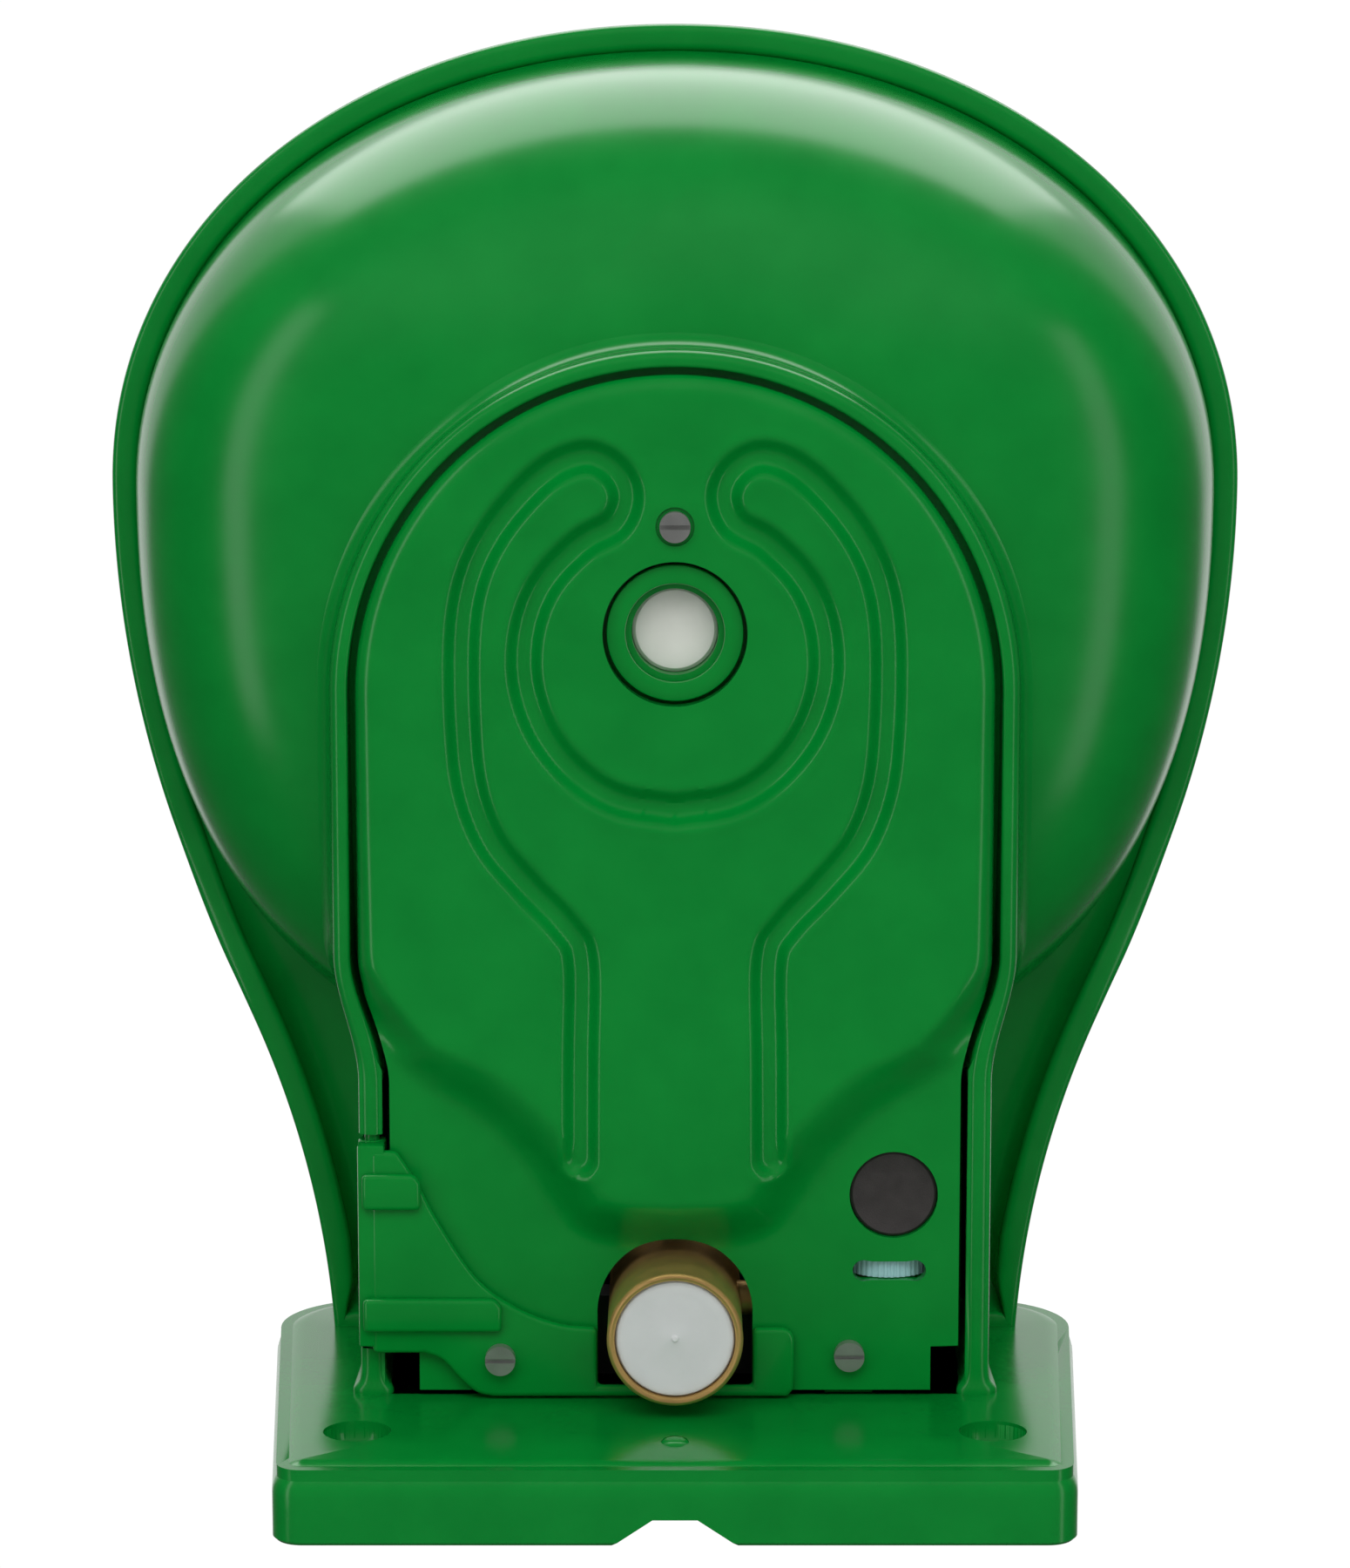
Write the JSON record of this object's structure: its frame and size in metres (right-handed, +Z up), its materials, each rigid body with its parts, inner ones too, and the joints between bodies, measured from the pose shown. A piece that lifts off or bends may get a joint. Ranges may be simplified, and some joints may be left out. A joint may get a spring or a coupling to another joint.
{
  "type": "livestock drinking bowl",
  "caption": "Wall-mounted automatic drinking bowl with a deep pear-shaped dish, a pressed tongue valve, a removable bottom cover, a drain plug and a hinged flap over a brass water inlet.",
  "frame": {"origin": "centre of the wall plate's back face, the face that lies on the wall", "axes": "+Z up, +Y into the wall, the bowl reaches out along -Y, +X to the right as seen from in front of the bowl"},
  "size_m": [0.2712, 0.3335, 0.14],
  "materials": {
    "green_plastic": "glossy moulded green plastic",
    "stainless_steel": "turned stainless steel",
    "stainless_sheet": "brushed stainless sheet",
    "brass": "machined brass",
    "clear_polythene": "milky translucent plastic",
    "white_plastic": "white moulded plastic",
    "black_plastic": "matt black plastic",
    "blue_plastic": "pale blue moulded plastic",
    "black_rubber": "matt black rubber"
  },
  "bodies": {
    "housing": {"bowl_body": "green_plastic", "bottom_cover": "green_plastic", "cover_screws": "stainless_steel", "threaded_inserts": "brass", "inlet_pipe": "brass", "pipe_saddle": "black_plastic", "saddle_screws": "stainless_steel", "regulator_body": "black_plastic", "feed_tube": "brass", "supply_tube": "brass", "valve_body": "brass", "valve_seat": "white_plastic", "stem_guide": "white_plastic", "valve_cap": "brass", "cap_seal": "black_rubber", "valve_spring": "stainless_steel", "lever_pin": "stainless_steel", "lever_clips": "stainless_steel", "blanking_plug": "black_rubber"},
    "tongue": {"tongue_lever": "stainless_sheet"},
    "stem": {"valve_stem": "stainless_steel", "valve_seal": "black_rubber"},
    "wheel": {"flow_wheel": "blue_plastic", "flow_needle": "brass"},
    "flap": {"pipe_flap": "green_plastic", "flap_screw": "stainless_steel"},
    "drain": {"drain_plug": "white_plastic", "drain_seal": "black_rubber"},
    "cap": {"thread_plug": "clear_polythene"}
  },
  "joints": [
    {"name": "lever_push", "type": "hinge", "parent": "housing", "child": "tongue", "pos_m": [0, -0.084, 0.058], "axis": [1, 0, 0], "range_deg": [0, 12], "stiffness_Nm_per_rad": 0.5, "springref_deg": -11.46},
    {"name": "stem_slide", "type": "slide", "parent": "housing", "child": "stem", "axis": [0, 1, 0], "range_m": [0, 0.0038], "deforming": ["valve_spring"]},
    {"name": "wheel_turn", "type": "hinge", "parent": "housing", "child": "wheel", "pos_m": [0.0496, -0.048, -0.0048], "axis": [0, 1, 0], "range_deg": [0, 270]},
    {"name": "flap_swing", "type": "hinge", "parent": "housing", "child": "flap", "pos_m": [-0.07, -0.0545, -0.012], "axis": [0, 1, 0], "range_deg": [0, 95]},
    {"name": "drain_lift", "type": "slide", "parent": "housing", "child": "drain", "axis": [0, 0, 1], "range_m": [0, 0.06]},
    {"name": "cap_pull", "type": "slide", "parent": "housing", "child": "cap", "axis": [0, 0, -1], "range_m": [0, 0.03]}
  ],
  "couplings": [
    {"joint": "stem_slide", "follows": "lever_push", "m_per_rad": 0.018}
  ]
}
